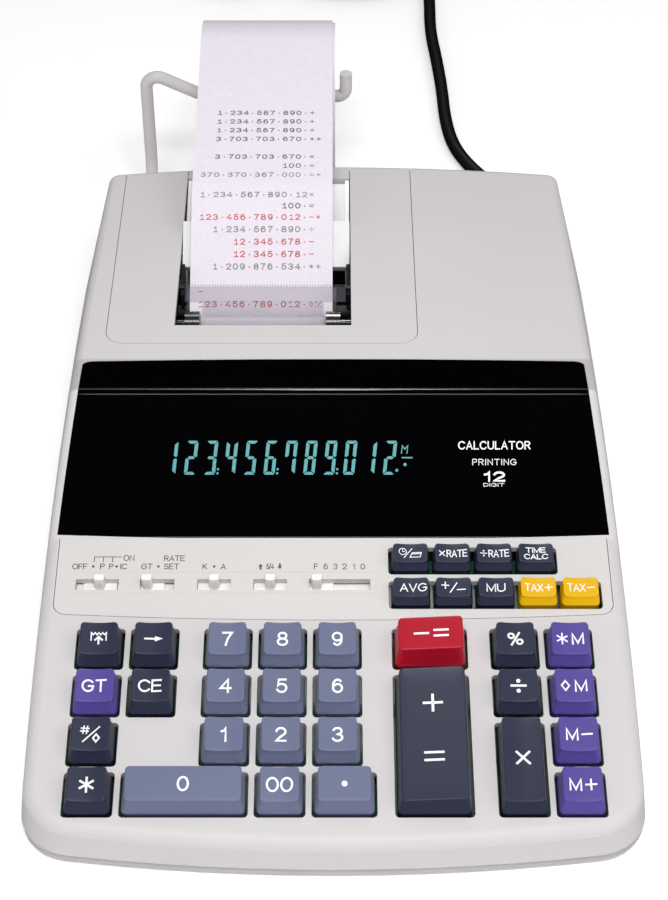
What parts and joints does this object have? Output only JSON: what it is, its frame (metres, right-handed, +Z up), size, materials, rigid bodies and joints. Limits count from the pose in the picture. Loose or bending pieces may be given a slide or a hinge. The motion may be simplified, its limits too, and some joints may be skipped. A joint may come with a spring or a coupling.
{
  "type": "desktop printing calculator",
  "caption": "Desktop printing calculator with a sloped keyboard, a raised display window, a printer with a paper roll on a wire holder, and a mains cord.",
  "frame": {"origin": "centre of the footprint of the case and the paper roll behind it, on the table, measured without the mains cord", "axes": "+X to the user's right, +Y from the keyboard to the paper roll, +Z up"},
  "size_m": [0.2215, 0.6665, 0.0965],
  "materials": {
    "light_case": "fine-textured warm light grey",
    "grey_case": "fine-textured grey",
    "rubber": "matte black",
    "black_gloss": "polished black",
    "tube_glass": "dark glass",
    "black_plastic": "matte black",
    "white_plastic": "satin white",
    "paper": "smooth white paper",
    "board": "green board",
    "steel": "laminated steel",
    "cord": "satin black",
    "dark_key": "satin dark navy grey",
    "number_key": "satin blue grey",
    "purple_key": "satin purple",
    "red_key": "satin red",
    "yellow_key": "satin yellow"
  },
  "bodies": {
    "case": {"upper_case": "light_case", "lower_case": "grey_case", "rubber_feet": "rubber", "control_panel": "light_case", "display_window": "black_gloss", "display_tube": "tube_glass", "printer_frame": "black_plastic", "paper_guide": "white_plastic", "paper_strip": "paper", "paper_holder": "light_case", "main_board": "board", "transformer": "steel", "strain_relief": "cord", "power_cord": "cord", "cord_coil": "cord", "power_plug": "cord"},
    "key_paper_feed": {"key_paper_feed": "dark_key"},
    "key_backspace": {"key_backspace": "dark_key"},
    "key_grand_total": {"key_grand_total": "purple_key"},
    "key_clear_entry": {"key_clear_entry": "dark_key"},
    "key_subtotal": {"key_subtotal": "dark_key"},
    "key_total": {"key_total": "dark_key"},
    "key_0": {"key_0": "number_key"},
    "key_00": {"key_00": "number_key"},
    "key_point": {"key_point": "number_key"},
    "key_1": {"key_1": "number_key"},
    "key_2": {"key_2": "number_key"},
    "key_3": {"key_3": "number_key"},
    "key_4": {"key_4": "number_key"},
    "key_5": {"key_5": "number_key"},
    "key_6": {"key_6": "number_key"},
    "key_7": {"key_7": "number_key"},
    "key_8": {"key_8": "number_key"},
    "key_9": {"key_9": "number_key"},
    "key_minus_equals": {"key_minus_equals": "red_key"},
    "key_plus_equals": {"key_plus_equals": "dark_key"},
    "key_percent": {"key_percent": "dark_key"},
    "key_divide": {"key_divide": "dark_key"},
    "key_multiply": {"key_multiply": "dark_key"},
    "key_memory_total": {"key_memory_total": "purple_key"},
    "key_memory_subtotal": {"key_memory_subtotal": "purple_key"},
    "key_memory_minus": {"key_memory_minus": "purple_key"},
    "key_memory_plus": {"key_memory_plus": "purple_key"},
    "key_clock_date": {"key_clock_date": "dark_key"},
    "key_times_rate": {"key_times_rate": "dark_key"},
    "key_divide_rate": {"key_divide_rate": "dark_key"},
    "key_time_calc": {"key_time_calc": "dark_key"},
    "key_average": {"key_average": "dark_key"},
    "key_sign_change": {"key_sign_change": "dark_key"},
    "key_markup": {"key_markup": "dark_key"},
    "key_tax_plus": {"key_tax_plus": "yellow_key"},
    "key_tax_minus": {"key_tax_minus": "yellow_key"},
    "switch_power_print": {"switch_power_print": "light_case"},
    "switch_grand_total_rate": {"switch_grand_total_rate": "light_case"},
    "switch_constant_add": {"switch_constant_add": "light_case"},
    "switch_rounding": {"switch_rounding": "light_case"},
    "switch_decimal": {"switch_decimal": "light_case"},
    "printer_cover": {"printer_cover": "light_case"},
    "paper_roll": {"paper_roll": "paper"},
    "feed_roller": {"feed_roller": "rubber"}
  },
  "joints": [
    {"name": "key_paper_feed_press", "type": "slide", "parent": "case", "child": "key_paper_feed", "axis": [0, 0.1685, -0.9857], "range_m": [0, 0.0035], "stiffness_N_per_m": 150, "springref_m": -0.002},
    {"name": "key_backspace_press", "type": "slide", "parent": "case", "child": "key_backspace", "axis": [0, 0.1685, -0.9857], "range_m": [0, 0.0035], "stiffness_N_per_m": 150, "springref_m": -0.002},
    {"name": "key_grand_total_press", "type": "slide", "parent": "case", "child": "key_grand_total", "axis": [0, 0.1685, -0.9857], "range_m": [0, 0.0035], "stiffness_N_per_m": 150, "springref_m": -0.002},
    {"name": "key_clear_entry_press", "type": "slide", "parent": "case", "child": "key_clear_entry", "axis": [0, 0.1685, -0.9857], "range_m": [0, 0.0035], "stiffness_N_per_m": 150, "springref_m": -0.002},
    {"name": "key_subtotal_press", "type": "slide", "parent": "case", "child": "key_subtotal", "axis": [0, 0.1685, -0.9857], "range_m": [0, 0.0035], "stiffness_N_per_m": 150, "springref_m": -0.002},
    {"name": "key_total_press", "type": "slide", "parent": "case", "child": "key_total", "axis": [0, 0.1685, -0.9857], "range_m": [0, 0.0035], "stiffness_N_per_m": 150, "springref_m": -0.002},
    {"name": "key_0_press", "type": "slide", "parent": "case", "child": "key_0", "axis": [0, 0.1685, -0.9857], "range_m": [0, 0.0035], "stiffness_N_per_m": 150, "springref_m": -0.002},
    {"name": "key_00_press", "type": "slide", "parent": "case", "child": "key_00", "axis": [0, 0.1685, -0.9857], "range_m": [0, 0.0035], "stiffness_N_per_m": 150, "springref_m": -0.002},
    {"name": "key_point_press", "type": "slide", "parent": "case", "child": "key_point", "axis": [0, 0.1685, -0.9857], "range_m": [0, 0.0035], "stiffness_N_per_m": 150, "springref_m": -0.002},
    {"name": "key_1_press", "type": "slide", "parent": "case", "child": "key_1", "axis": [0, 0.1685, -0.9857], "range_m": [0, 0.0035], "stiffness_N_per_m": 150, "springref_m": -0.002},
    {"name": "key_2_press", "type": "slide", "parent": "case", "child": "key_2", "axis": [0, 0.1685, -0.9857], "range_m": [0, 0.0035], "stiffness_N_per_m": 150, "springref_m": -0.002},
    {"name": "key_3_press", "type": "slide", "parent": "case", "child": "key_3", "axis": [0, 0.1685, -0.9857], "range_m": [0, 0.0035], "stiffness_N_per_m": 150, "springref_m": -0.002},
    {"name": "key_4_press", "type": "slide", "parent": "case", "child": "key_4", "axis": [0, 0.1685, -0.9857], "range_m": [0, 0.0035], "stiffness_N_per_m": 150, "springref_m": -0.002},
    {"name": "key_5_press", "type": "slide", "parent": "case", "child": "key_5", "axis": [0, 0.1685, -0.9857], "range_m": [0, 0.0035], "stiffness_N_per_m": 150, "springref_m": -0.002},
    {"name": "key_6_press", "type": "slide", "parent": "case", "child": "key_6", "axis": [0, 0.1685, -0.9857], "range_m": [0, 0.0035], "stiffness_N_per_m": 150, "springref_m": -0.002},
    {"name": "key_7_press", "type": "slide", "parent": "case", "child": "key_7", "axis": [0, 0.1685, -0.9857], "range_m": [0, 0.0035], "stiffness_N_per_m": 150, "springref_m": -0.002},
    {"name": "key_8_press", "type": "slide", "parent": "case", "child": "key_8", "axis": [0, 0.1685, -0.9857], "range_m": [0, 0.0035], "stiffness_N_per_m": 150, "springref_m": -0.002},
    {"name": "key_9_press", "type": "slide", "parent": "case", "child": "key_9", "axis": [0, 0.1685, -0.9857], "range_m": [0, 0.0035], "stiffness_N_per_m": 150, "springref_m": -0.002},
    {"name": "key_minus_equals_press", "type": "slide", "parent": "case", "child": "key_minus_equals", "axis": [0, 0.1685, -0.9857], "range_m": [0, 0.0035], "stiffness_N_per_m": 150, "springref_m": -0.002},
    {"name": "key_plus_equals_press", "type": "slide", "parent": "case", "child": "key_plus_equals", "axis": [0, 0.1685, -0.9857], "range_m": [0, 0.0035], "stiffness_N_per_m": 150, "springref_m": -0.002},
    {"name": "key_percent_press", "type": "slide", "parent": "case", "child": "key_percent", "axis": [0, 0.1685, -0.9857], "range_m": [0, 0.0035], "stiffness_N_per_m": 150, "springref_m": -0.002},
    {"name": "key_divide_press", "type": "slide", "parent": "case", "child": "key_divide", "axis": [0, 0.1685, -0.9857], "range_m": [0, 0.0035], "stiffness_N_per_m": 150, "springref_m": -0.002},
    {"name": "key_multiply_press", "type": "slide", "parent": "case", "child": "key_multiply", "axis": [0, 0.1685, -0.9857], "range_m": [0, 0.0035], "stiffness_N_per_m": 150, "springref_m": -0.002},
    {"name": "key_memory_total_press", "type": "slide", "parent": "case", "child": "key_memory_total", "axis": [0, 0.1685, -0.9857], "range_m": [0, 0.0035], "stiffness_N_per_m": 150, "springref_m": -0.002},
    {"name": "key_memory_subtotal_press", "type": "slide", "parent": "case", "child": "key_memory_subtotal", "axis": [0, 0.1685, -0.9857], "range_m": [0, 0.0035], "stiffness_N_per_m": 150, "springref_m": -0.002},
    {"name": "key_memory_minus_press", "type": "slide", "parent": "case", "child": "key_memory_minus", "axis": [0, 0.1685, -0.9857], "range_m": [0, 0.0035], "stiffness_N_per_m": 150, "springref_m": -0.002},
    {"name": "key_memory_plus_press", "type": "slide", "parent": "case", "child": "key_memory_plus", "axis": [0, 0.1685, -0.9857], "range_m": [0, 0.0035], "stiffness_N_per_m": 150, "springref_m": -0.002},
    {"name": "key_clock_date_press", "type": "slide", "parent": "case", "child": "key_clock_date", "axis": [0, 0.1685, -0.9857], "range_m": [0, 0.0035], "stiffness_N_per_m": 150, "springref_m": -0.002},
    {"name": "key_times_rate_press", "type": "slide", "parent": "case", "child": "key_times_rate", "axis": [0, 0.1685, -0.9857], "range_m": [0, 0.0035], "stiffness_N_per_m": 150, "springref_m": -0.002},
    {"name": "key_divide_rate_press", "type": "slide", "parent": "case", "child": "key_divide_rate", "axis": [0, 0.1685, -0.9857], "range_m": [0, 0.0035], "stiffness_N_per_m": 150, "springref_m": -0.002},
    {"name": "key_time_calc_press", "type": "slide", "parent": "case", "child": "key_time_calc", "axis": [0, 0.1685, -0.9857], "range_m": [0, 0.0035], "stiffness_N_per_m": 150, "springref_m": -0.002},
    {"name": "key_average_press", "type": "slide", "parent": "case", "child": "key_average", "axis": [0, 0.1685, -0.9857], "range_m": [0, 0.0035], "stiffness_N_per_m": 150, "springref_m": -0.002},
    {"name": "key_sign_change_press", "type": "slide", "parent": "case", "child": "key_sign_change", "axis": [0, 0.1685, -0.9857], "range_m": [0, 0.0035], "stiffness_N_per_m": 150, "springref_m": -0.002},
    {"name": "key_markup_press", "type": "slide", "parent": "case", "child": "key_markup", "axis": [0, 0.1685, -0.9857], "range_m": [0, 0.0035], "stiffness_N_per_m": 150, "springref_m": -0.002},
    {"name": "key_tax_plus_press", "type": "slide", "parent": "case", "child": "key_tax_plus", "axis": [0, 0.1685, -0.9857], "range_m": [0, 0.0035], "stiffness_N_per_m": 150, "springref_m": -0.002},
    {"name": "key_tax_minus_press", "type": "slide", "parent": "case", "child": "key_tax_minus", "axis": [0, 0.1685, -0.9857], "range_m": [0, 0.0035], "stiffness_N_per_m": 150, "springref_m": -0.002},
    {"name": "switch_power_print_slide", "type": "slide", "parent": "case", "child": "switch_power_print", "axis": [1, 0, 0], "range_m": [-0.0061, 0.0043]},
    {"name": "switch_grand_total_rate_slide", "type": "slide", "parent": "case", "child": "switch_grand_total_rate", "axis": [1, 0, 0], "range_m": [0, 0.0073]},
    {"name": "switch_constant_add_slide", "type": "slide", "parent": "case", "child": "switch_constant_add", "axis": [1, 0, 0], "range_m": [-0.0035, 0.0035]},
    {"name": "switch_rounding_slide", "type": "slide", "parent": "case", "child": "switch_rounding", "axis": [1, 0, 0], "range_m": [-0.0035, 0.0035]},
    {"name": "switch_decimal_slide", "type": "slide", "parent": "case", "child": "switch_decimal", "axis": [1, 0, 0], "range_m": [0, 0.0162]},
    {"name": "printer_cover_lift", "type": "slide", "parent": "case", "child": "printer_cover", "axis": [0, 0, 1], "range_m": [0, 0.04]},
    {"name": "paper_roll_spin", "type": "hinge", "parent": "case", "child": "paper_roll", "pos_m": [-0.0279, 0.172, 0.0605], "axis": [1, 0, 0], "continuous": true},
    {"name": "feed_roller_spin", "type": "hinge", "parent": "case", "child": "feed_roller", "pos_m": [-0.0274, 0.041, 0.044], "axis": [1, 0, 0], "continuous": true}
  ]
}
